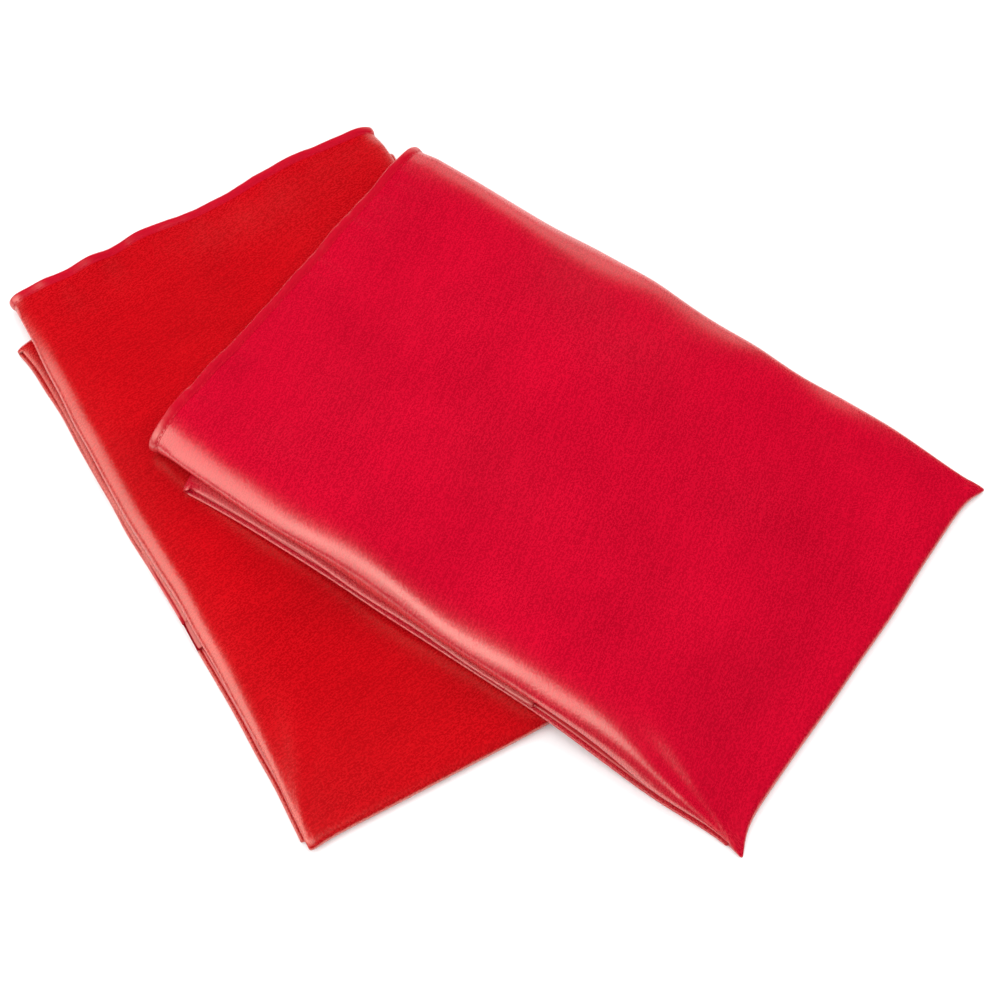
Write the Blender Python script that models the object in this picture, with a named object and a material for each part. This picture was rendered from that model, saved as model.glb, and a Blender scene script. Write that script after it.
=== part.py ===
"""Two satin capes, each folded into a flat bundle, one lying across the other.

Metres, +Z up, +X to the right, +Y away from the front. The table is z = 0.
Every bundle is laid out in its own strip coordinates: s runs along the bundle from the
plain-fold end (s = 0) to the hemmed end (s = LEAF_LENGTH), and t runs across it, from the
front long fold (t = 0) to the back one (t = LEAF_WIDTH).
"""
import math

import bmesh
import bpy
from mathutils import Vector

MM = 0.001

# --- the cloth panel and how it is folded --------------------------------------------
LEAF_WIDTH = 0.2333         # a 0.70 m panel folded in thirds
LEAF_LENGTH = 0.365         # plain fold to hemmed end
SET_BACK = 0.024            # the second fold stops this far short of the hemmed end
FOLD_LENGTH = LEAF_LENGTH - SET_BACK
TAIL_END = 0.40 * FOLD_LENGTH       # where the tucked neck end stops
HEM_DEPTH = 0.0052
EAR_OUT = 3.0 * MM          # the two plain-fold corners reach this far past the fold line
EAR_SIDE = 1.5 * MM         # and this far past the long sides
HINGE_OUT = 5.0 * MM        # the cover opens about a line this far past the fold line

# --- build-up of one bundle, bottom to top -------------------------------------------
GAP = 0.35 * MM             # clear gap between neighbouring solids
BOTTOM_THICK = 3.5 * MM
TAIL_THICK = 3.3 * MM
FOLD_PUFF = 3.4 * MM        # thickness of the top leaf at the plain fold
DROOP_RUN = 0.050           # the hemmed end comes down over this distance
END_TAPER = 0.60            # share of the thickness left at a lower leaf's short ends
THIN_NOSE = 0.005           # the long folds of the lower leaves round over across this width

# --- hem, thread, neck band and its fastening ----------------------------------------
THREAD_RADIUS = 0.25 * MM
STITCH_WAVE = 0.15 * MM
BAND_DEPTH = 0.016
BAND_THICK = 1.2 * MM
BAND_PEEK = 0.003           # the band's end shows past the front long fold
TAB_LENGTH = 0.030
TAB_DEPTH = 0.012
TAB_THICK = 0.6 * MM

# --- where the two bundles lie, and how each has settled -----------------------------
# Outline shapes are in mm at equal steps, positive outwards. front and back run from the
# plain fold to the hemmed end; hem and fold run from the front to the back.
SHAPE = {
    "lower": dict(centre=(-0.0737, -0.0018), turn=math.radians(121.0),
                  puff=6.6 * MM, roll=0.0125, hem_top=5.0 * MM,
                  front=(-3.2, -4.0, -3.6, -4.0, -2.0, -0.8, -0.8, 0.0),
                  back=(2.0, 2.0, 2.0, 2.0, 2.0, 2.0),
                  hem=(1.0, 1.2, 2.0, 4.0, 1.2, 1.8, 5.0, 6.0, 3.0),
                  fold=(-5.8, -1.5, 2.0, 4.0, 5.0)),
    "upper": dict(centre=(0.0448, -0.0168), turn=math.radians(145.4),
                  puff=11.5 * MM, roll=0.0175, hem_top=6.0 * MM,
                  front=(3.0, 1.2, 1.5, 1.0, 1.0, 1.0, 1.5, 1.0),
                  back=(4.3, 8.5, 8.2, 6.3, 9.6, 7.4, 5.0, 6.0),
                  hem=(0.0, 0.0, 0.0, 0.0, 0.0),
                  fold=(-6.9, -3.4, -0.5, 0.4, 1.1)),
}
SLOPE_RUN = 0.072           # the upper bundle comes down to the table over this distance
REST_GAP = 0.9 * MM         # room between the lower bundle's top and the upper one

# --- mesh stations, shared by all leaves so that stacked faces stay parallel ---------
S_STATIONS = [0.010 + 0.0158 * i for i in range(22)]
END_STATIONS = [0.3340, 0.3390, 0.3440, 0.3480, 0.3520, 0.3560]
RIM = [0.0, 0.0005, 0.0020, 0.0050, 0.0100, 0.0175]
T_STATIONS = RIM + [0.0350 + 0.0181 * i for i in range(10)] + [LEAF_WIDTH - t for t in RIM[::-1]]
ACROSS_COUNT = 19

COLOURS = {
    "satin": (0.62, 0.008, 0.030, 1.0),
    "hem": (0.66, 0.012, 0.035, 1.0),
    "thread": (0.50, 0.006, 0.020, 1.0),
    "band": (0.58, 0.008, 0.028, 1.0),
    "hook_tape": (0.36, 0.010, 0.020, 1.0),
    "loop_tape": (0.40, 0.012, 0.024, 1.0),
}


def smooth_step(value):
    """0 below 0, 1 above 1, eased between."""
    value = min(1.0, max(0.0, value))
    return value * value * (3.0 - 2.0 * value)


def shaped(keys, q):
    """Smooth curve through equally spaced values in mm, read at q from 0 to 1; in metres."""
    keys = [2 * keys[0] - keys[1]] + list(keys) + [2 * keys[-1] - keys[-2]]
    reach = min(1.0, max(0.0, q)) * (len(keys) - 3)
    step = min(int(reach), len(keys) - 4)
    f = reach - step
    a, b, c, d = keys[step:step + 4]
    bend = 2 * a - 5 * b + 4 * c - d + f * (3 * (b - c) + d - a)
    return (b + 0.5 * f * (c - a + f * bend)) * MM


class Bundle:
    """One folded cape: its settled outline and heights, and its place in the frame."""

    def __init__(self, name, ground):
        self.name = name
        self.shape = SHAPE[name]
        turn = self.shape["turn"]
        self.along = Vector((math.cos(turn), math.sin(turn)))
        self.across = Vector((math.sin(turn), -math.cos(turn)))
        middle = self.along * LEAF_LENGTH / 2 + self.across * LEAF_WIDTH / 2
        self.start = Vector(self.shape["centre"]) - middle
        self.ground = ground

    def plan(self, s, t):
        """Strip coordinates to x and y, with the settled outline and drawn-out corners."""
        lean, run, side = t / LEAF_WIDTH, s / LEAF_LENGTH, 2.0 * t / LEAF_WIDTH - 1.0
        near = max(s, 0.0)
        front, back = shaped(self.shape["front"], run), shaped(self.shape["back"], run)
        t_out = t - front * (1.0 - lean) ** 2 + back * lean ** 2
        t_out += EAR_SIDE * side ** 3 * math.exp(-near / 0.020)
        s_out = s - EAR_OUT * abs(side) ** 6 * math.exp(-near / 0.040)
        s_out -= shaped(self.shape["fold"], lean) * math.exp(-near / 0.12)
        s_out += shaped(self.shape["hem"], lean) * math.exp(-(LEAF_LENGTH - s) / 0.12)
        return self.start + self.along * s_out + self.across * t_out

    def strip(self, point):
        """x and y to plain strip coordinates."""
        offset = Vector(point) - self.start
        return offset.dot(self.along), offset.dot(self.across)

    def place(self, s, t, z):
        """A point z above whatever this bundle lies on."""
        flat = self.plan(s, t)
        return Vector((flat.x, flat.y, self.ground(flat) + z))

    def under(self, s):
        """Underside of the top leaf: on the bottom leaf, over the tail, down past the fold."""
        over_tail = (TAIL_THICK + GAP) * smooth_step((s - TAIL_END + 0.050) / 0.030)
        down = smooth_step((s - FOLD_LENGTH - 0.002) / 0.015)
        return (BOTTOM_THICK + GAP + over_tail) * (1.0 - down) + GAP * down

    def top(self, s):
        """Upper side of the top leaf, away from its rolled long sides."""
        rise = smooth_step((s - TAIL_END + 0.045) / 0.055)
        puff = FOLD_PUFF + (self.shape["puff"] - FOLD_PUFF) * smooth_step(s / 0.24)
        full = (3.9 + 3.9 * rise) * MM + puff + 0.3 * MM
        droop = smooth_step((s - LEAF_LENGTH + DROOP_RUN) / DROOP_RUN) ** 1.3
        return full + (self.shape["hem_top"] - full) * droop

    def nose(self, s):
        """Width across which the top leaf's front long side rolls over."""
        return 0.005 + (self.shape["roll"] - 0.005) * smooth_step((s + 0.03) / 0.22)


def on_table(_point):
    return 0.0


def on_lower(point):
    """What the upper bundle lies on: the lower one, then a slope down to the table."""
    s, t = LOWER.strip(point)
    off = math.hypot(max(0.0, t - LEAF_WIDTH), max(0.0, -s))
    high = LOWER.top(min(max(s, 0.0), LEAF_LENGTH - 0.020)) + REST_GAP
    return high * (1.0 - smooth_step(off / SLOPE_RUN))


LOWER = Bundle("lower", on_table)
UPPER = Bundle("upper", on_lower)


# --- mesh helpers --------------------------------------------------------------------
def clear_scene():
    for item in list(bpy.data.objects):
        bpy.data.objects.remove(item, do_unlink=True)


def make_material(name, colour):
    material = bpy.data.materials.new(name)
    material.use_nodes = True
    shader = material.node_tree.nodes["Principled BSDF"]
    shader.inputs["Base Color"].default_value = colour
    shader.inputs["Roughness"].default_value = 0.4
    return material


def make_object(name, sections, kind, origin=(0.0, 0.0, 0.0)):
    """Join closed loops of equal length into a capped tube whose axes sit on origin."""
    origin = Vector(origin)
    count = len(sections[0])
    points = [p - origin for section in sections for p in section]
    faces = [tuple(range(count))]
    for row in range(len(sections) - 1):
        low = row * count
        for col in range(count):
            after = (col + 1) % count
            faces.append((low + col, low + after, low + count + after, low + count + col))
    faces.append(tuple(range(len(points) - count, len(points))))
    mesh = bpy.data.meshes.new(name)
    mesh.from_pydata(points, [], faces)
    build = bmesh.new()
    build.from_mesh(mesh)
    bmesh.ops.recalc_face_normals(build, faces=build.faces)
    bmesh.ops.triangulate(build, faces=build.faces)
    build.to_mesh(mesh)
    build.free()
    mesh.materials.append(make_material(name, COLOURS[kind]))
    made = bpy.data.objects.new(name, mesh)
    made.location = origin
    bpy.context.collection.objects.link(made)
    return made


# --- the folded cloth ----------------------------------------------------------------
def leaf_section(bundle, s, z_low, thick, front, back):
    """One cross-section of a leaf: flat below, rounded over at both long folds."""
    upper, lower = [], []
    for t in T_STATIONS:
        edge = min(1.0, t / front, (LEAF_WIDTH - t) / back)
        bulge = math.sqrt(1.0 - (1.0 - edge) ** 2)
        upper.append(bundle.place(s, t, z_low + thick * (0.40 + 0.60 * bulge)))
        lower.append(bundle.place(s, t, z_low + thick * 0.25 * (1.0 - bulge)))
    return upper + lower[::-1]


def end_share(s, first, last):
    """Share of the full thickness at s: the two short ends round off over 10 mm."""
    near = min(1.0, max(0.0, min(s - first, last - s)) / 0.010)
    return END_TAPER + (1.0 - END_TAPER) * math.sqrt(1.0 - (1.0 - near) ** 2)


def stations(first, last):
    inner = [s for s in S_STATIONS + END_STATIONS if first + 0.004 < s < last - 0.002]
    return [first, first + 0.003] + sorted(inner) + [last]


def thin_leaf(bundle, name, first, last, z_low, thick):
    """One of the two lower folded portions of the panel, as a closed slab."""
    sections = [leaf_section(bundle, s, z_low, thick * end_share(s, first, last),
                             THIN_NOSE, THIN_NOSE) for s in stations(first, last)]
    make_object(bundle.name + "_" + name, sections, "satin")


def top_leaf(bundle, hinge):
    """The top folded portion of the panel: puffed at its long sides, drooping at the hem."""
    last = LEAF_LENGTH - HEM_DEPTH - GAP
    sections = []
    for s in stations(0.0, last):
        z_low = bundle.under(s)
        thick = (bundle.top(s) - z_low) * end_share(s, 0.0, 9.0)
        sections.append(leaf_section(bundle, s, z_low, thick, bundle.nose(s), 0.008))
    make_object(bundle.name + "_top_leaf", sections, "satin", hinge)


def make_leaves(bundle, hinge):
    thin_leaf(bundle, "bottom_leaf", 0.0, FOLD_LENGTH, 0.0, BOTTOM_THICK)
    thin_leaf(bundle, "tail_leaf", TAIL_END, FOLD_LENGTH, BOTTOM_THICK + GAP, TAIL_THICK)
    top_leaf(bundle, hinge)


# --- strips that run across the bundle -----------------------------------------------
def cross_bar(bundle, name, kind, s_range, t_range, z_range, origin=(0.0, 0.0, 0.0)):
    """A flat bar across the bundle with its four long edges softened."""
    soft_s = min(0.0008, (s_range[1] - s_range[0]) / 4)
    soft_z = (z_range[1] - z_range[0]) / 4
    profile = []
    for s, z, ds, dz in ((s_range[0], z_range[0], 1, 1), (s_range[1], z_range[0], -1, 1),
                         (s_range[1], z_range[1], -1, -1), (s_range[0], z_range[1], 1, -1)):
        corner = [(s, z + dz * soft_z), (s + ds * soft_s, z)]
        profile += corner if ds == dz else corner[::-1]
    sections = []
    for i in range(ACROSS_COUNT):
        t = t_range[0] + (t_range[1] - t_range[0]) * i / (ACROSS_COUNT - 1)
        sections.append([bundle.place(s, t, z) for s, z in profile])
    return make_object(bundle.name + "_" + name, sections, kind, origin)


def make_hem(bundle, hinge):
    s_range = (LEAF_LENGTH - HEM_DEPTH, LEAF_LENGTH)
    cross_bar(bundle, "hem", "hem", s_range, (0.0005, LEAF_WIDTH - 0.0005),
              (GAP, bundle.shape["hem_top"] - GAP), hinge)


def make_thread(bundle, hinge):
    """One continuous strand along the hem, rising and dipping with its stitches."""
    seam = LEAF_LENGTH - HEM_DEPTH * 0.55
    base = bundle.shape["hem_top"] + THREAD_RADIUS + STITCH_WAVE
    sections = []
    for i in range(49):
        t = 0.002 + (LEAF_WIDTH - 0.004) * i / 48
        lift = base + STITCH_WAVE * (1 if i % 2 else -1)
        ring = []
        for k in range(6):
            turn = math.tau * k / 6
            ring.append(bundle.place(seam + THREAD_RADIUS * math.cos(turn), t,
                                     lift + THREAD_RADIUS * math.sin(turn)))
        sections.append(ring)
    make_object(bundle.name + "_hem_thread", sections, "thread", hinge)


def make_fastening(bundle):
    """Neck band at the tucked end, with a hook tab at one end and a loop tab at the other."""
    band_s = (TAIL_END - GAP - BAND_DEPTH, TAIL_END - GAP)
    floor = BOTTOM_THICK + GAP
    cross_bar(bundle, "neck_band", "band", band_s, (-BAND_PEEK, LEAF_WIDTH - 0.002),
              (floor, floor + BAND_THICK))
    margin = (BAND_DEPTH - TAB_DEPTH) / 2
    tab_s = (band_s[0] + margin, band_s[1] - margin)
    tab_z = (floor + BAND_THICK + GAP, floor + BAND_THICK + GAP + TAB_THICK)
    cross_bar(bundle, "hook_tab", "hook_tape", tab_s,
              (-BAND_PEEK + 0.001, -BAND_PEEK + 0.001 + TAB_LENGTH), tab_z)
    last = LEAF_WIDTH - 0.003
    cross_bar(bundle, "loop_tab", "loop_tape", tab_s, (last - TAB_LENGTH, last), tab_z)


def hinge_point(bundle):
    """A point on the line the top leaf opens about, just outside the plain fold's ears."""
    flat = bundle.start + bundle.across * LEAF_WIDTH / 2 - bundle.along * HINGE_OUT
    return Vector((flat.x, flat.y, BOTTOM_THICK + GAP / 2))


def make_cape(bundle):
    hinge = hinge_point(bundle)
    make_leaves(bundle, hinge)
    make_hem(bundle, hinge)
    make_thread(bundle, hinge)
    make_fastening(bundle)


clear_scene()
for folded_cape in (LOWER, UPPER):
    make_cape(folded_cape)
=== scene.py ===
"""Looks of two folded red satin capes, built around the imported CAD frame."""
import math

import bmesh
import bpy
import numpy as np
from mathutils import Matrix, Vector


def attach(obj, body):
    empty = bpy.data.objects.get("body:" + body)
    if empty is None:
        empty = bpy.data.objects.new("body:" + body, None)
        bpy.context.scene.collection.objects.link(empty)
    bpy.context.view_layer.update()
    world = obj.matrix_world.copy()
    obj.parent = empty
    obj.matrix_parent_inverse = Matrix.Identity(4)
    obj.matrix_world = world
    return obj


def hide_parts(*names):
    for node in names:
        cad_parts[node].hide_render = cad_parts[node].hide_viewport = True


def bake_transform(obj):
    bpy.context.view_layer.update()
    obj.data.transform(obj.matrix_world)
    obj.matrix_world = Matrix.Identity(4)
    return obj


MM = 0.001

# --- the cut panel and its folds, as in the CAD --------------------------------------
LEAF_WIDTH = 0.2333
LEAF_LENGTH = 0.365
SET_BACK = 0.024
FOLD_LENGTH = LEAF_LENGTH - SET_BACK
TAIL_END = 0.40 * FOLD_LENGTH
HEM_DEPTH = 0.0052
PANEL_WIDTH = 3 * LEAF_WIDTH
PANEL_LENGTH = LEAF_LENGTH + FOLD_LENGTH + (FOLD_LENGTH - TAIL_END)

# --- placement, as in the CAD --------------------------------------------------------
LOWER_CENTRE = (-0.0737, -0.0018)
LOWER_TURN = math.radians(121.0)
UPPER_CENTRE = (0.0448, -0.0168)
UPPER_TURN = math.radians(145.4)

# Beyond the lower bundle the upper one comes down to the table over these distances, its
# inner layers over the first and its outermost cloth over the second.
SLOPE_RUN = 0.066
DRAPE_RUN = 0.110

# --- heights of the layers -----------------------------------------------------------
FLOOR_GAP = 0.60 * MM
REST_GAP = 1.1 * MM          # room between the lower bundle's top and the upper one
TAIL_TOP = 7.6 * MM
FOLD_PUFF = 3.4 * MM         # filling of the top leaf at the plain fold
LOWER_PUFF = 1.9 * MM        # filling of the lower leaves
INNER_STEP = 0.7 * MM        # between the two inner layers of a leaf
BELOW_TAIL = 4.5             # mm, underside of the top leaf where there is no tail
HEM_LOW = 2.1 * MM           # and past the second fold

# --- the cloth as a sheet ------------------------------------------------------------
CLOTH_THICK = 0.20 * MM
BEND_ONE = 0.006             # half the cloth's length round the plain fold
BEND_TWO = 0.004             # and round the second fold
BULGE_ONE = 0.0065           # how far the plain fold reaches past its leaves
BULGE_TWO = 0.0045           # and the second fold
CUT_S = 0.010                # the upper cover's cloth is split this far from the plain fold
FRONT_ROLL = 0.0040          # widths of the long sides' rolls at the plain fold
BACK_ROLL = 0.0045
LOWER_ROLL = 0.0050          # width of the front roll of the lower leaves
EDGE_WAVE = 0.5 * MM         # wandering of the long edges and of the hem

# --- the looks of each bundle --------------------------------------------------------
# puff: filling of the top leaf, full at rise from the plain fold. droop: height at the hem.
# roll, back_roll: widths of the rolled front and back long sides.
# waves, bulge, near_bulge, near_back, pleat: relief of the top leaf.
# tuck: shift of the lower leaves' front corner. notch: shift of the neck end's inner edge.
# ear: strength of the drawn-out front and back corners. tone, haze: brightness and blue of the red; the
# lower cape's lower values are painted shade and painted red reflected from the upper cape.
# The outline shapes are in mm at equal steps. front, back and under run from the plain fold
# to the hemmed end; hem and fold run from the front to the back. Positive is outwards.
LOOK = {
    "lower": dict(
        seed=11, tone=0.92, haze=0.006,
        puff=7.0 * MM, rise=0.17, droop=11.5 * MM, roll=0.0105, back_roll=0.014,
        waves=1.5 * MM, bulge=1.4 * MM, near_bulge=0.8 * MM, near_back=1.0 * MM, pleat=0.4 * MM,
        tuck=(-7.0 * MM, 7.0 * MM), notch=-0.0015, ear=(0.2, 0.7),
        front=(-1.6, -3.8, -3.2, -2.8, 0.0, -0.2, -2.0, -2.0),
        back=(2.0, 2.0, 2.0, 2.0, 2.0, 2.0),
        under=(2, 3, 3, 3, 3.5, 4),
        hem=(-4.8, -4.1, -2.4, -1.2, -3.5, -1.7, 1.5, 1.6, -1.5),
        fold=(-3.2, 0.2, 2.8, 4.3, 5.0)),
    "upper": dict(
        seed=23, tone=1.0, haze=0.026,
        puff=11.5 * MM, rise=0.12, droop=16.5 * MM, roll=0.0205, back_roll=0.024,
        waves=1.9 * MM, bulge=4.0 * MM, near_bulge=5.5 * MM, near_back=3.2 * MM, pleat=1.1 * MM,
        tuck=(-4.5 * MM, 4.5 * MM), notch=0.0020, ear=(0.9, 0.75),
        front=(-1.0, 1.3, 0.0, 1.0, 1.0, 1.0, 1.5, 0.0),
        back=(4.3, 8.2, 7.4, 7.4, 11.0, 7.8, 4.6, 3.6),
        under=(1, 2, 1, 2, 3, 4),
        hem=(0, 0, 0, 0, 0),
        fold=(-6.9, -5.2, -3.7, -2.0, -0.9, 0.5, 0.4, 0.9, 1.1)),
}
EAR_OUT = 10.0 * MM          # the drawn-out corners at the plain fold
EAR_SIDE = 5.0 * MM
EAR_REACH = 0.0070
SHAPE_REACH = 0.12           # the outlines of the two short ends die out over this distance


def ease(value):
    value = np.clip(value, 0.0, 1.0)
    return value * value * (3.0 - 2.0 * value)


def waves(seed, x, y, shortest, longest, count=9):
    """Smooth random relief of about unit size: a fixed sum of sine waves, lengths in metres."""
    draw = np.random.default_rng(seed)
    total = 0.0
    for _ in range(count):
        length = math.exp(draw.uniform(math.log(shortest), math.log(longest)))
        turn = draw.uniform(0.0, math.tau)
        phase = draw.uniform(0.0, math.tau)
        share = (length / longest) ** 0.6
        reach = x * math.cos(turn) + y * math.sin(turn)
        total = total + share * np.sin(math.tau * reach / length + phase)
    return total / math.sqrt(count) * 1.4


def bezier(q, a, b, c, d):
    p = 1.0 - q
    return a * p ** 3 + 3 * b * p * p * q + 3 * c * p * q * q + d * q ** 3


def hill(value, middle, width):
    """Bell-shaped rise of unit height."""
    return np.exp(-((value - middle) / width) ** 2)


def over_tail(s):
    """How far the layers above have risen over the tail, from 0 to 1."""
    return ease((s - TAIL_END + 0.045) / 0.055)


def round_fold(s, turn, h, top, reach, sign):
    """Place along and height at depth h round a fold; sign is 1 at the plain fold, -1 at the second."""
    half = (top - FLOOR_GAP) / 2
    keep = 1.0 - h / half
    z = FLOOR_GAP + half + sign * half * keep * np.cos(turn)
    return s - sign * reach * np.maximum(keep, 0.02) * np.sin(turn), z


def shaped(keys, q):
    """Smooth curve through equally spaced values in mm, read at q from 0 to 1; gives metres."""
    keys = np.array((2 * keys[0] - keys[1],) + tuple(keys) + (2 * keys[-1] - keys[-2],)) * MM
    reach = np.clip(q, 0.0, 1.0) * (len(keys) - 3)
    step = np.minimum(reach.astype(int), len(keys) - 4)
    f = reach - step
    a, b, c, d = (keys[step + k] for k in range(4))
    return b + 0.5 * f * (c - a + f * (2 * a - 5 * b + 4 * c - d + f * (3 * (b - c) + d - a)))


# --- one folded cape as a map from flat cloth to space -------------------------------
# a runs across the cut panel and b from its hemmed end to its neck end, both in metres.
# Along b the cloth goes through five legs: 0 top leaf, 1 plain fold, 2 bottom leaf,
# 3 second fold, 4 tail. Along a it goes through seven parts: 0 left third, 1 and 2 the
# lower and upper half of the front roll, 3 the middle, 4 and 5 the back roll, 6 right third.
PARTS = 7
TABLE_STEPS = 40             # points per part in the table of arc lengths
TABLE_B = 0.16               # flat b of the section that is measured for it


class Cape:
    """The map from one cape's flat cloth to its folded place."""

    def __init__(self, name, centre, turn, ground):
        self.name = name
        self.look = LOOK[name]
        self.along = np.array([math.cos(turn), math.sin(turn)])
        self.across = np.array([math.sin(turn), -math.cos(turn)])
        middle = self.along * LEAF_LENGTH / 2 + self.across * LEAF_WIDTH / 2
        self.start = np.array(centre) - middle
        self.ground = ground
        self.table = self.column_table()

    # --- flat cloth to legs and parts ---
    def legs(self, b):
        """Leg, distance along the bundle and turn round a fold for each flat b."""
        ends = [LEAF_LENGTH - BEND_ONE, LEAF_LENGTH + BEND_ONE,
                LEAF_LENGTH + FOLD_LENGTH - BEND_TWO, LEAF_LENGTH + FOLD_LENGTH + BEND_TWO]
        leg = np.searchsorted(ends, b, side="right")
        turn_one = (b - ends[0]) / (2 * BEND_ONE) * math.pi
        turn_two = (b - ends[2]) / (2 * BEND_TWO) * math.pi
        s = np.choose(leg, [LEAF_LENGTH - b, 0 * b + BEND_ONE, b - LEAF_LENGTH,
                            0 * b + FOLD_LENGTH - BEND_TWO, LEAF_LENGTH + 2 * FOLD_LENGTH - b])
        turn = np.choose(leg, [0 * b, turn_one, 0 * b, turn_two, 0 * b])
        return leg[:, None], s[:, None], turn[:, None]

    def column_table(self):
        """Flat a at the start of every part, from arc length round a middle section."""
        part = np.repeat(np.arange(PARTS), TABLE_STEPS)
        q = np.tile(np.linspace(0, 1, TABLE_STEPS), PARTS)
        points = self.grid_of(np.array([TABLE_B]), part[None, :], q[None, :])[0]
        steps = np.linalg.norm(np.diff(points, axis=0), axis=1)
        reach = np.concatenate([[0.0], np.cumsum(steps)]).reshape(PARTS, TABLE_STEPS)
        reach *= PANEL_WIDTH / reach[-1, -1]
        return reach

    def parts(self, a):
        """Part and place within it, 0 to 1, for each flat a."""
        starts, stops = self.table[:, 0], self.table[:, -1]
        part = np.clip(np.searchsorted(starts, a, side="right") - 1, 0, PARTS - 1)
        q = np.empty_like(a)
        for k in range(PARTS):
            here = part == k
            q[here] = np.interp(a[here], self.table[k], np.linspace(0, 1, TABLE_STEPS))
        off_low, off_high = a < starts[0], a > stops[-1]
        q[off_low] = (a[off_low] - starts[0]) / (stops[0] - starts[0])
        q[off_high] = 1 + (a[off_high] - stops[-1]) / (stops[-1] - starts[-1])
        return part[None, :], q[None, :]

    def columns(self, counts):
        """Flat a values with a given count in each part."""
        known = np.linspace(0, 1, TABLE_STEPS)
        values = [np.interp(np.linspace(0, 1, n + 1)[:-1], known, self.table[k])
                  for k, n in enumerate(counts)]
        return np.concatenate(values + [[PANEL_WIDTH]])

    # --- profiles along the strip ---
    def under(self, s):
        """Underside of the top leaf: on the bottom leaf, over the tail, down past the fold."""
        over = (BELOW_TAIL + 3.3 * over_tail(s)) * MM
        down = ease((s - FOLD_LENGTH - 0.006) / 0.014)
        return over * (1 - down) + HEM_LOW * down

    def top_height(self, s):
        """Height of the visible top layer above what the bundle lies on, away from its sides."""
        puff = FOLD_PUFF + (self.look["puff"] - FOLD_PUFF) * ease(s / self.look["rise"])
        full = (BELOW_TAIL + 3.6 * over_tail(s)) * MM + puff
        droop = ease((s - LEAF_LENGTH + 0.050) / 0.050) ** 1.3
        return full + (self.look["droop"] - full) * droop

    def section(self, leg, s):
        """Depth of the front roll and of all the layers, and the widths of both rolls."""
        top = leg == 0
        puff = np.where(top, self.top_height(s) - self.under(s) - INNER_STEP, LOWER_PUFF)
        share = np.where(top, ease((s + 0.004) / 0.07), 0.0)
        front = np.where(top, FRONT_ROLL + (self.look["roll"] - FRONT_ROLL) * share, LOWER_ROLL)
        back = BACK_ROLL + np.where(top, (self.look["back_roll"] - BACK_ROLL) * share, 0.0)
        return puff, puff + INNER_STEP, front, back

    def grid_of(self, b, part, q):
        """Places in space for flat b (rows) and places q within parts (columns)."""
        leg, s, turn = self.legs(b)
        puff, thick, front, back = self.section(leg, s)
        length = b[:, None]
        t = self.cross_t(part, q, front, back, length, leg)
        h = self.cross_h(part, q, puff, thick)
        return self.place(leg, s, turn, t, h, length)

    def points(self, a, b):
        """Places of the cloth's middle surface for flat a (columns) and b (rows)."""
        part, q = self.parts(a)
        return self.grid_of(b, part, q)

    def surface(self, a, b, lift=0.0):
        """Points and unit normals on the cloth's outer face, moved out by lift."""
        reach = 0.25 * MM
        across = self.points(a + reach, b) - self.points(a - reach, b)
        along = self.points(a, b + reach) - self.points(a, b - reach)
        normal = np.cross(along, across)
        normal /= np.maximum(np.linalg.norm(normal, axis=-1, keepdims=True), 1e-12)
        lift = np.asarray(lift)[..., None] if np.ndim(lift) else lift
        return self.points(a, b) + normal * lift, normal

    def cross_t(self, part, q, front, back, length, leg):
        """Place across the strip, part by part round the folded section."""
        width = LEAF_WIDTH
        near_neck = ease((length - PANEL_LENGTH + 0.075) / 0.05)
        inside = np.where(leg == 0, 0.004, 0.0025)
        free = inside * (1 - near_neck) + self.look["notch"] * near_neck
        options = [
            (width - 0.006) + (0.45 * front - width + 0.006) * q,
            front * bezier(1 - q, 0.0, 0.0, 0.12, 0.45),
            front * bezier(1 - q, 1.0, 0.34, 0.0, 0.0),
            front + (width - back - front) * q,
            width - back * bezier(q, 1.0, 0.34, 0.0, 0.0),
            width - back * bezier(q, 0.0, 0.0, 0.15, 0.60),
            (width - 0.60 * back) + (free - width + 0.60 * back) * q,
        ]
        return np.select([part == k for k in range(PARTS)], options)

    def cross_h(self, part, q, puff, thick):
        """Depth under the outermost layer, part by part round the folded section."""
        options = [
            puff + 0 * q,
            puff * bezier(1 - q, 0.60, 0.88, 1.0, 1.0),
            puff * bezier(1 - q, 0.0, 0.0, 0.30, 0.60),
            0 * puff + 0 * q,
            thick * bezier(q, 0.0, 0.0, 0.30, 0.55),
            thick * bezier(q, 0.55, 0.85, 1.0, 1.0),
            thick + 0 * q,
        ]
        return np.select([part == k for k in range(PARTS)], options)

    def wander(self, leg, s, t, lean, length):
        """The place across, moved with the long edges, which lie further out on lower leaves."""
        look = self.look
        run = s / LEAF_LENGTH
        share = np.select([leg <= 1, leg <= 3], [0.0, 1.0], 0.55)
        front = shaped(look["front"], run) + share * shaped(look["under"], run)
        front = front + self.edge_wave(1, length)
        back = shaped(look["back"], run) + self.edge_wave(2, length)
        return t - front * (1 - lean) ** 2 + back * lean ** 2

    def edge_wave(self, which, length):
        return EDGE_WAVE * waves(self.look["seed"] + which, length, 0 * length, 0.03, 0.15)

    def relief(self, s, t, hem_side):
        """Waves over the top leaf and the pucker along its hem."""
        look = self.look
        relief = look["waves"] * waves(look["seed"] + 3, s, t, 0.055, 0.24)
        relief = relief * ease((s - 0.01) / 0.08) * (0.35 + 0.65 * ease((LEAF_LENGTH - s) / 0.05))
        return relief + 0.55 * MM * hem_side * waves(look["seed"] + 4, 0 * s, t, 0.010, 0.034)

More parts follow.
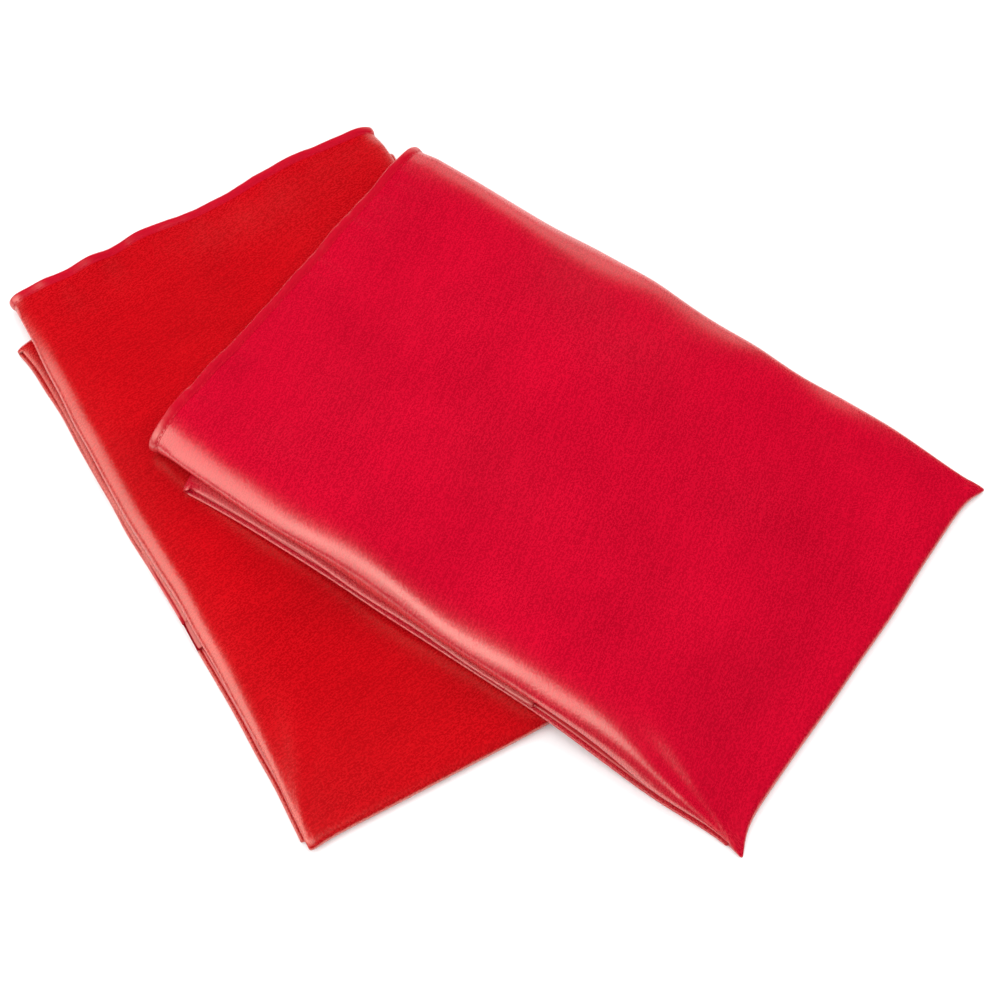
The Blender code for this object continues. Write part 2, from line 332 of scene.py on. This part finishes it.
    def bulges(self, s, t):
        """Extra height of the top leaf along its two rolls, and its pleats."""
        look = self.look
        near = look["near_bulge"] * hill(s, 0.060, 0.055) * ease(s / 0.035)
        crest = 0.008 + 0.012 * ease(s / 0.06)
        bulge = (look["bulge"] * ease((s - 0.005) / 0.11) + near) * hill(t, crest, 0.028)
        near = look["near_back"] * hill(s, 0.070, 0.050) * ease(s / 0.03)
        bulge = bulge + near * hill(LEAF_WIDTH - t - 0.012, 0.0, 0.018)
        # pleats that run together into the front corner at the plain fold
        reach, turn_in = np.hypot(s, t), np.arctan2(np.maximum(t, 0.0), np.maximum(s, 1e-6))
        fan = np.sin(17.0 * turn_in + 0.6) * hill(turn_in, 0.0, 0.45)
        return bulge + look["pleat"] * fan * hill(reach, 0.055, 0.030)

    def corners(self, leg, side, lean, s, t, z):
        """Shape the short ends, draw out the plain fold's corners and shift the lower leaves'."""
        look = self.look
        s_in = np.maximum(s, 0.0)
        edge = LEAF_WIDTH / 2 * (1.0 - np.minimum(np.abs(side), 1.0))
        strength = np.where(side > 0, look["ear"][1], look["ear"][0])
        ear = np.exp(-np.hypot(edge, s_in) / EAR_REACH) * strength
        z = FLOOR_GAP + (z - FLOOR_GAP) * (1 - 0.93 * ear)
        s = s - EAR_OUT * ear - shaped(look["fold"], lean) * np.exp(-s_in / SHAPE_REACH)
        s = s + shaped(look["hem"], lean) * np.exp(-(LEAF_LENGTH - s_in) / SHAPE_REACH)
        t = t + EAR_SIDE * np.sign(side) * ear
        behind = np.exp(-np.maximum(FOLD_LENGTH - s, 0.0) / 0.030) * (leg >= 2)
        corner = np.abs(side) ** 6 * behind
        tuck_s, tuck_t = look["tuck"]
        s = s + np.where(side < 0, tuck_s, 0.004) * corner
        t = t + np.where(side < 0, -tuck_t, 0.0035) * corner
        return s, t, z

    def place(self, leg, s, turn, t, h, length):
        """Points in space for places t across the strip and depths h under its top."""
        side, lean = 2.0 * t / LEAF_WIDTH - 1.0, t / LEAF_WIDTH
        t = self.wander(leg, s, t, lean, length)
        top = self.top_height(s)
        hem_side = np.exp(-np.maximum(LEAF_LENGTH - s, 0.0) / 0.016)
        outermost = np.clip(1.0 - h / np.maximum(top - self.under(s), 1e-4), 0.0, 1.0)
        soft_share = 1.0 - 0.85 * np.clip(h / (7 * MM), 0, 1)
        z_top = top + self.bulges(s, t) * outermost + self.relief(s, t, hem_side) * soft_share - h
        s_one, z_one = round_fold(s, turn, h, self.top_height(BEND_ONE), BULGE_ONE, 1.0)
        s_two, z_two = round_fold(s, turn, h, TAIL_TOP, BULGE_TWO, -1.0)
        legs = [leg == k for k in range(5)]
        z = np.select(legs, [z_top, z_one, FLOOR_GAP + h, z_two, TAIL_TOP - h])
        s_leaf = s + 0 * t
        s_all = np.select(legs, [s_leaf, s_one, s_leaf, s_two, s_leaf])
        s_all, t, z = self.corners(leg, side, lean, s_all, t, z)
        hem_wave = waves(self.look["seed"] + 5, 0 * s, t, 0.02, 0.08)
        s_all = s_all + (leg == 0) * hem_side * EDGE_WAVE * hem_wave
        xy = self.start + self.along * s_all[..., None] + self.across * t[..., None]
        # the outermost cloth drapes over what is below more softly than the layers under it
        firm, soft = self.ground(xy, SLOPE_RUN), self.ground(xy, DRAPE_RUN)
        loose = (leg == 0) * ease((s - 0.012) / 0.06) * outermost
        z = z + firm + loose * (soft - firm)
        return np.concatenate([xy, z[..., None]], axis=-1)


def on_table(xy, run):
    """What the lower bundle lies on: a level table, whatever the run of the slope."""
    return 0.0 * xy[..., 0]


def on_lower(xy, run):
    """What the upper bundle lies on: the lower one, then a slope of this run to the table."""
    offset = xy - LOWER.start
    s, t = offset @ LOWER.along, offset @ LOWER.across
    off = np.hypot(np.maximum(t - LEAF_WIDTH, 0.0), np.maximum(-s, 0.0))
    high = LOWER.top_height(np.clip(s, 0.0, LEAF_LENGTH - 0.02)) + REST_GAP
    return high * (1.0 - ease(off / run))


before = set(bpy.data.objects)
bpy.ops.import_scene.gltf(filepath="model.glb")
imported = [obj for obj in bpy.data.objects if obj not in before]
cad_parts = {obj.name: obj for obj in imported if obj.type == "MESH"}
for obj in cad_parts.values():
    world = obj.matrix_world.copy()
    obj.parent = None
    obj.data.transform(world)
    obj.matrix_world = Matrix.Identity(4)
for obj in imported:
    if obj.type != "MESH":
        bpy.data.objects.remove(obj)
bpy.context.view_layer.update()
LOWER = Cape("lower", LOWER_CENTRE, LOWER_TURN, on_table)
UPPER = Cape("upper", UPPER_CENTRE, UPPER_TURN, on_lower)


# --- materials -----------------------------------------------------------------------
class Nodes:
    """Short hand for wiring one Principled material."""

    def __init__(self, name):
        self.material = bpy.data.materials.new(name)
        self.material.use_nodes = True
        self.tree = self.material.node_tree
        self.shader = self.tree.nodes["Principled BSDF"]

    def add(self, kind, inputs=(), **settings):
        node = self.tree.nodes.new("ShaderNode" + kind)
        for key, value in settings.items():
            setattr(node, key, value)
        for key, value in dict(inputs).items():
            if isinstance(value, bpy.types.NodeSocket):
                self.tree.links.new(value, node.inputs[key])
            else:
                node.inputs[key].default_value = value
        return node

    def math(self, kind, first, second):
        node = self.add("Math", {0: first, 1: second}, operation=kind)
        return node.outputs[0]

    def put(self, socket, value):
        """Set or link one input of the shader."""
        if isinstance(value, bpy.types.NodeSocket):
            self.tree.links.new(value, self.shader.inputs[socket])
        else:
            self.shader.inputs[socket].default_value = value

    def flat(self, turn=0.0, size=(1.0, 1.0)):
        """Flat-cloth coordinates, turned, in units of the given sizes in metres."""
        uv = self.add("UVMap", uv_map="flat").outputs[0]
        return self.add("Mapping", {"Vector": uv, "Rotation": (0, 0, turn),
                                    "Scale": (size[0], size[1], 1.0)},
                        vector_type="TEXTURE").outputs[0]

    def bands(self, vector, pitch):
        """Thread lines this far apart, in metres."""
        scale = math.tau / (20.0 * pitch)
        wave = self.add("TexWave", {"Vector": vector, "Scale": scale, "Distortion": 0.0,
                                    "Detail": 0.0}, wave_type="BANDS", bands_direction="X")
        return wave.outputs["Fac"]

    def noise(self, vector, size, detail=2.0):
        texture = self.add("TexNoise", {"Vector": vector, "Scale": 1.0 / size, "Detail": detail})
        return texture.outputs["Fac"]

    def contrast(self, value, gain):
        """Spread a noise that stays near one half over more of its range."""
        shifted = self.math("MULTIPLY", self.math("SUBTRACT", value, 0.5), gain)
        return self.add("Clamp", {"Value": self.math("ADD", shifted, 0.5)}).outputs[0]

    def ramp(self, value, low, high):
        """Linear change from one colour to another as value goes 0 to 1."""
        return self.add("Mix", {0: value, 6: low, 7: high}, data_type="RGBA").outputs[2]


TWILL_TURN = math.radians(76)
FINE_FLOOR = 0.38            # below this the gaps between floats would show as dark specks


def satin(name, colour, deep, rough=0.275, weave=1.0):
    """Satin weave: fine floats and grain, faint streaks, slow change of tone."""
    n = Nodes(name)
    floats = n.contrast(n.noise(n.flat(TWILL_TURN, (0.80 * MM, 2.8 * MM)), 1.0), 2.6)
    grain = n.contrast(n.noise(n.flat(), 1.05 * MM, 1.0), 2.6)
    streak = n.contrast(n.noise(n.flat(TWILL_TURN, (1.8 * MM, 22.0 * MM)), 1.0), 1.8)
    patch = n.noise(n.flat(), 0.045)
    fine = n.math("ADD", n.math("MULTIPLY", floats, 0.5), n.math("MULTIPLY", grain, 0.5))
    fine = n.math("MAXIMUM", fine, FINE_FLOOR)
    relief = n.math("ADD", n.math("MULTIPLY", fine, 0.75), n.math("MULTIPLY", streak, 0.25))
    tone = n.math("ADD", n.math("MULTIPLY", patch, 0.3), n.math("MULTIPLY", relief, 0.7))
    n.put("Base Color", n.ramp(tone, deep, colour))
    n.put("Roughness", n.math("ADD", n.math("MULTIPLY", relief, 0.10), rough - 0.05))
    bump = n.add("Bump", {"Height": fine, "Strength": weave, "Distance": 0.075 * MM})
    n.put("Normal", bump.outputs[0])
    n.put("IOR", 2.5)
    n.put("Specular Tint", (1.0, 0.74, 0.62, 1.0))
    n.put("Anisotropic", 0.35)
    n.put("Anisotropic Rotation", 0.25)
    tangent = n.add("Tangent", direction_type="UV_MAP", uv_map="flat").outputs[0]
    n.put("Tangent", tangent)
    return n.material


def thread_material():
    n = Nodes("thread")
    ply = n.bands(n.flat(math.radians(-35)), 0.35 * MM)
    n.put("Base Color", n.ramp(ply, (0.50, 0.001, 0.014, 1), (0.64, 0.006, 0.028, 1)))
    n.put("Roughness", n.math("ADD", n.math("MULTIPLY", ply, 0.1), 0.45))
    bump = n.add("Bump", {"Height": ply, "Strength": 0.4, "Distance": 0.05 * MM})
    n.put("Normal", bump.outputs[0])
    return n.material


def tape(name, colour, nap):
    """Woven fastening tape under a nap of hooks or loops."""
    n = Nodes(name)
    rib = n.bands(n.flat(), 0.9 * MM)
    fuzz = n.noise(n.flat(), nap, 4.0)
    dark = tuple(0.55 * c for c in colour[:3]) + (1.0,)
    n.put("Base Color", n.ramp(fuzz, dark, colour))
    n.put("Roughness", n.math("ADD", n.math("MULTIPLY", fuzz, 0.2), 0.62))
    height = n.math("ADD", n.math("MULTIPLY", rib, 0.4), fuzz)
    bump = n.add("Bump", {"Height": height, "Strength": 0.7, "Distance": 0.25 * MM})
    n.put("Normal", bump.outputs[0])
    return n.material


def floor_material():
    n = Nodes("floor")
    n.put("Base Color", (0.93, 0.93, 0.93, 1))
    n.put("Roughness", 0.85)
    n.put("Specular IOR Level", 0.2)
    return n.material


def cape_satin(name):
    tone, haze = LOOK[name]["tone"], LOOK[name]["haze"]
    # Both capes are one satin; the lower cape's darker, less blue copy is painted shade and painted red
    # reflected from the upper cape.
    bright = (0.82 * tone, 0.0008, 1.25 * haze, 1)
    deep = (0.25 * tone, 0.0001, 0.25 * haze, 1)
    return satin(name + "_satin", bright, deep)


SATIN = {name: cape_satin(name) for name in LOOK}
HEM_SATIN = satin("hem_satin", (0.66, 0.0012, 0.022, 1), (0.40, 0.0005, 0.012, 1), 0.36, 0.8)
BAND_SATIN = satin("band_satin", (0.52, 0.0012, 0.017, 1), (0.40, 0.0005, 0.010, 1), 0.33, 0.8)
THREAD = thread_material()
HOOK_TAPE = tape("hook_tape", (0.30, 0.006, 0.014, 1), 0.7 * MM)
LOOP_TAPE = tape("loop_tape", (0.36, 0.008, 0.018, 1), 1.1 * MM)


# --- meshes --------------------------------------------------------------------------
def flat_grid(a, b):
    """Flat-cloth coordinates of a grid with a along its columns and b along its rows."""
    return np.stack(np.broadcast_arrays(a[None, :], b[:, None]), axis=-1)


def make_object(name, points, faces, uv, material, normals=None):
    mesh = bpy.data.meshes.new(name)
    mesh.from_pydata(points.reshape(-1, 3).tolist(), [], faces)
    layer = mesh.uv_layers.new(name="flat")
    corners = np.array([loop.vertex_index for loop in mesh.loops])
    flat = uv.reshape(-1, 2)[corners]
    layer.data.foreach_set("uv", flat.astype(np.float32).reshape(-1))
    mesh.shade_smooth()
    if normals is not None:
        mesh.normals_split_custom_set_from_vertices(normals.reshape(-1, 3).tolist())
    mesh.materials.append(material)
    made = bpy.data.objects.new(name, mesh)
    bpy.context.collection.objects.link(made)
    return made


def quads(index):
    """Faces between neighbouring rows and columns of an index grid."""
    corners = [index[:-1, :-1], index[:-1, 1:], index[1:, 1:], index[1:, :-1]]
    return np.stack(corners, axis=-1).reshape(-1, 4)


def cloth_sheet(cape, name, a, b, material):
    """A patch of the cape's cloth as a thin closed sheet."""
    middle, normal = cape.surface(a, b)
    rows, cols = middle.shape[:2]
    outer = np.arange(rows * cols).reshape(rows, cols)
    inner = outer + rows * cols
    faces = [quads(outer)[:, ::-1], quads(inner)]
    rim = np.concatenate([outer[0], outer[1:, -1], outer[-1, -2::-1], outer[-2:0:-1, 0]])
    after = np.roll(rim, -1)
    far = rows * cols
    faces.append(np.stack([rim, after, after + far, rim + far], axis=-1))
    points = np.concatenate([middle + normal * CLOTH_THICK / 2, middle - normal * CLOTH_THICK / 2])
    uv = np.concatenate([flat_grid(a, b)] * 2)
    normals = np.concatenate([normal, -normal])
    return make_object(name, points, np.concatenate(faces).tolist(), uv, material, normals)


def bar(name, points, uv, material):
    """A closed bar from a profile x length grid of points, capped at both ends."""
    around, long = points.shape[:2]
    index = np.arange(around * long).reshape(around, long)
    ring = np.concatenate([index, index[:1]])
    faces = quads(ring).tolist()
    faces += [index[::-1, 0].tolist(), index[:, -1].tolist()]
    return make_object(name, points, faces, uv, material)


def edge_profile(depth, rim, low, high, count=18):
    """Rounded section of a turned hem: distance in from the edge, and lift off the cloth."""
    turn = np.linspace(0, math.tau, count, endpoint=False)
    across = np.sign(np.cos(turn)) * np.abs(np.cos(turn)) ** 0.75
    up = np.sin(turn)
    half = (depth + rim) / 2
    inset = half - half * across - rim
    lift = np.where(up > 0, high, low) * up
    plump = 1.0 + 0.45 * np.exp(-((inset + rim) / (0.35 * depth)) ** 2)
    return inset, lift * plump


def across_strip(cape, name, a, b_edge, inward, profile, material, groove=None):
    """A strip along one end of the panel: the hem or the neck band."""
    inset, lift = profile
    b = b_edge + inward * inset
    order = np.argsort(b, kind="stable")
    back = np.argsort(order, kind="stable")
    points, normals = cape.surface(a, b[order])
    points, normals = points[back], normals[back]
    lift = np.repeat(lift[:, None], len(a), axis=1)
    if groove is not None:
        lift = lift * (1 + groove(inset)[:, None] + 0.22 * waves(7, 0 * a, a, 0.008, 0.03)[None, :])
    return bar(name, points + normals * lift[..., None], flat_grid(a, b), material)


def along_strip(cape, name, a_edge, inward, b, profile, material):
    """The narrow turned hem along one side of the panel."""
    inset, lift = profile
    a = a_edge + inward * inset
    order = np.argsort(a, kind="stable")
    back = np.argsort(order, kind="stable")
    points, normals = cape.surface(a[order], b)
    points, normals = points[:, back], normals[:, back]
    points = points + normals * lift[None, :, None]
    return bar(name, np.swapaxes(points, 0, 1), np.swapaxes(flat_grid(a, b), 0, 1), material)


STITCH_PITCH = 2.7 * MM
STITCH_SEAM = 4.3 * MM
STITCH_RADIUS = 0.17 * MM
STITCH_HIGH = 0.36 * MM
STITCH_SINK = 0.45 * MM      # between stitches the thread runs this far inside the hem


def stitching(cape, name, b_seam, high, material):
    """One continuous thread across the panel that shows as a row of stitches."""
    steps = int(PANEL_WIDTH / STITCH_PITCH) * 8
    a = np.linspace(1.5 * MM, PANEL_WIDTH - 1.5 * MM, steps)
    rise = ease(0.75 + 0.9 * np.cos(math.tau * a / STITCH_PITCH))
    lift = high - STITCH_SINK + (STITCH_SINK + STITCH_RADIUS) * rise
    centre, normal = cape.surface(a, np.array([b_seam]), lift[None, :])
    centre, normal = centre[0], normal[0]
    forward = np.gradient(centre, axis=0)
    forward /= np.linalg.norm(forward, axis=-1, keepdims=True)
    side = np.cross(forward, normal)
    turns = np.linspace(0, math.tau, 6, endpoint=False)[:, None, None]
    points = centre + STITCH_RADIUS * (np.cos(turns) * normal + np.sin(turns) * side)
    uv = np.stack(np.broadcast_arrays(a[None, :], STITCH_RADIUS * turns[..., 0]), axis=-1)
    return bar(name, points, uv, material)


def hem_groove(inset):
    """The stitches pull the hem down in a narrow groove along its inner edge."""
    return -0.75 * np.exp(-((inset - STITCH_SEAM) / (0.7 * MM)) ** 2)


# --- pieces --------------------------------------------------------------------------
VISIBLE_COUNTS = (30, 8, 16, 78, 12, 7, 30)
EDGE_COUNTS = (70, 12, 20, 170, 16, 10, 70)
HEM_SECTION = edge_profile(HEM_DEPTH, 0.5 * MM, 0.40 * MM, 1.05 * MM, 26)
SIDE_SECTION = edge_profile(4.6 * MM, 0.4 * MM, 0.35 * MM, 0.40 * MM, 12)
BAND_DEPTH = 16.0 * MM
BAND_SECTION = edge_profile(BAND_DEPTH, 1.0 * MM, 0.50 * MM, 0.55 * MM, 20)
TAB_SECTION = edge_profile(12.0 * MM, 0.0, -0.50 * MM, 1.35 * MM, 16)
TAB_NEAR = 0.002             # a tape starts this far in from the panel's side and the band's edge
TAB_FAR = 0.032
LEAVES = {"": ("top_leaf", "bottom_leaf", "tail_leaf"), "cover": ("top_leaf",), "fold": (),
          "under": ("bottom_leaf", "tail_leaf")}


def spans():
    """Flat b values of the cover, the fold and the rest of the strip."""
    split_one, split_two = LEAF_LENGTH - CUT_S, LEAF_LENGTH + CUT_S
    cover = np.concatenate([np.linspace(0, 0.022, 13)[:-1], np.linspace(0.022, split_one, 108)])
    low, high = LEAF_LENGTH - BEND_ONE, LEAF_LENGTH + BEND_ONE
    fold = np.concatenate([np.linspace(split_one, low, 9)[:-1], np.linspace(low, high, 19)[:-1],
                           np.linspace(high, split_two, 9)])
    second = LEAF_LENGTH + FOLD_LENGTH
    rest = np.concatenate([np.linspace(split_two, second - BEND_TWO, 56)[:-1],
                           np.linspace(second - BEND_TWO, second + BEND_TWO, 13)[:-1],
                           np.linspace(second + BEND_TWO, PANEL_LENGTH, 36)])
    return {"cover": cover, "fold": fold, "under": rest}


def ride(piece, cape, span):
    """Ride a piece on the body that its span of cloth belongs to."""
    if cape is LOWER:
        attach(piece, "lower_cape")
    elif span == "cover":
        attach(piece, "upper_cover")
    elif span == "under":
        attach(piece, "upper_cape")
    else:
        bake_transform(piece)


def settle(piece, cape, span, slot, *nodes):
    """Ride a piece, and hide the CAD nodes that it stands in for; slot is not used."""
    ride(piece, cape, span)
    if nodes:
        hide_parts(*[cape.name + "_" + node for node in nodes])
    return piece


def make_ends(cape):
    """The hem with its stitches, and at the other end the neck band with its two tapes."""
    name = cape.name
    a = cape.columns(EDGE_COUNTS)
    hem = across_strip(cape, name + "_turned_hem", a, 0.0, 1.0, HEM_SECTION, HEM_SATIN, hem_groove)
    thread = stitching(cape, name + "_hem_stitches", STITCH_SEAM, STITCH_HIGH, THREAD)
    settle(hem, cape, "cover", "hem", "hem")
    settle(thread, cape, "cover", "thread", "hem_thread")
    band_edge = PANEL_LENGTH + BAND_DEPTH
    band = across_strip(cape, name + "_neckband", a, band_edge, -1.0, BAND_SECTION, BAND_SATIN)
    neck = [settle(band, cape, "under", "band", "neck_band")]
    for kind, low, high, material in (("hook", TAB_NEAR, TAB_FAR, HOOK_TAPE),
                                      ("loop", PANEL_WIDTH - TAB_FAR, PANEL_WIDTH - TAB_NEAR, LOOP_TAPE)):
        tab = across_strip(cape, name + "_" + kind + "_tape", np.linspace(low, high, 16),
                           band_edge - TAB_NEAR, -1.0, TAB_SECTION, material)
        neck.append(settle(tab, cape, "under", kind + "_tape", kind + "_tab"))
    return [hem, thread], neck


def make_cloth(cape, span, b):
    """One span of the panel's cloth, with a side hem along each of its long edges."""
    tail = "_" + span if span else ""
    label = cape.name + "_cloth" + tail
    sheet = cloth_sheet(cape, label, cape.columns(VISIBLE_COUNTS), b, SATIN[cape.name])
    for word, edge, inward in (("left", 0.0, 1.0), ("right", PANEL_WIDTH, -1.0)):
        label = cape.name + "_side_hem_" + word + tail
        side = along_strip(cape, label, edge, inward, b, SIDE_SECTION, HEM_SATIN)
        settle(side, cape, span, "hem")
    settle(sheet, cape, span, "satin", *LEAVES[span])


def make_cape(cape):
    """The lower cape's cloth is one sheet; the upper cape's is cut into the three spans."""
    hem, neck = make_ends(cape)
    parts = spans()
    if cape is LOWER:
        parts = {"": np.concatenate([parts["cover"], parts["fold"][1:], parts["under"][1:]])}
    for span, b in parts.items():
        make_cloth(cape, span, b)


for cape in (LOWER, UPPER):
    make_cape(cape)


# --- floor, light, camera ------------------------------------------------------------
FLOOR_RADIUS = 1.12
FLOOR_SIDES = 96
BACKDROP_RADIUS = 8.0
WORLD_STRENGTH = 0.06
LIGHTS = (                   # name, place, size, power, whether reflections show it
    ("softbox_left", (-0.84, -0.26, 0.66), (1.2, 0.9), 6.0, True),
    ("softbox_front", (-0.34, -0.76, 0.92), (0.8, 0.5), 2.3, True),
    ("backfill", (0.15, 1.80, 0.46), (2.0, 0.6), 3.1, True),
    ("overhead", (0.35, 0.35, 1.8), (3.6, 3.6), 86, False),
)
CAMERA_AIM = Vector((0.0093, -0.0251, 0.0))
CAMERA_PITCH = math.radians(64.2)
CAMERA_REACH = 0.83
CAMERA_LENS = 56.4
SENSOR_WIDTH = 36.0


def staged(name, mesh, material):
    """Add an object that is part of the stage and not of the cape."""
    mesh.materials.append(material)
    item = bpy.data.objects.new(name, mesh)
    bpy.context.collection.objects.link(item)
    return item


def make_floor():
    turns = np.linspace(0, math.tau, FLOOR_SIDES, endpoint=False)
    points = [(FLOOR_RADIUS * math.cos(t), FLOOR_RADIUS * math.sin(t), 0.0) for t in turns]
    mesh = bpy.data.meshes.new("floor")
    mesh.from_pydata(points, [], [tuple(range(FLOOR_SIDES))])
    staged("floor", mesh, floor_material())


def make_backdrop():
    """A plain white surround that only the camera sees, so it lights nothing."""
    form = bmesh.new()
    bmesh.ops.create_uvsphere(form, u_segments=48, v_segments=24, radius=BACKDROP_RADIUS)
    mesh = bpy.data.meshes.new("backdrop")
    form.to_mesh(mesh)
    form.free()
    n = Nodes("backdrop")
    n.put("Base Color", (0, 0, 0, 1))
    n.put("Emission Color", (1, 1, 1, 1))
    n.put("Emission Strength", 1.0)
    n.material.cycles.emission_sampling = "NONE"
    item = staged("backdrop", mesh, n.material)
    for ray in ("diffuse", "glossy", "transmission", "volume_scatter", "shadow"):
        setattr(item, "visible_" + ray, False)


def area_light(name, place, size, power, glossy):
    """A rectangular light aimed at the middle of the table."""
    light = bpy.data.lights.new(name, "AREA")
    light.shape = "RECTANGLE"
    light.size, light.size_y = size
    light.energy = power
    lamp = bpy.data.objects.new(name, light)
    lamp.location = place
    lamp.rotation_euler = (-Vector(place)).to_track_quat("-Z", "Y").to_euler()
    lamp.visible_glossy = glossy
    lamp.visible_camera = False
    light.cycles.use_multiple_importance_sampling = glossy
    bpy.context.collection.objects.link(lamp)


def make_world():
    """A faint even light that reflections do not show."""
    world = bpy.data.worlds.new("studio")
    bpy.context.scene.world = world
    world.use_nodes = True
    background = world.node_tree.nodes["Background"]
    background.inputs["Color"].default_value = (1, 1, 1, 1)
    background.inputs["Strength"].default_value = WORLD_STRENGTH
    world.cycles_visibility.glossy = False
    world.cycles.sampling_method = "NONE"


def make_camera():
    camera = bpy.data.objects.new("camera", bpy.data.cameras.new("camera"))
    camera.data.lens = CAMERA_LENS
    camera.data.sensor_width = SENSOR_WIDTH
    back = Vector((0, -math.cos(CAMERA_PITCH), math.sin(CAMERA_PITCH)))
    camera.location = CAMERA_AIM + CAMERA_REACH * back
    camera.rotation_euler = (math.pi / 2 - CAMERA_PITCH, 0.0, 0.0)
    bpy.context.collection.objects.link(camera)
    bpy.context.scene.camera = camera


make_floor()
make_backdrop()
for settings in LIGHTS:
    area_light(*settings)
make_world()
make_camera()
bpy.context.scene.view_settings.view_transform = "Standard"
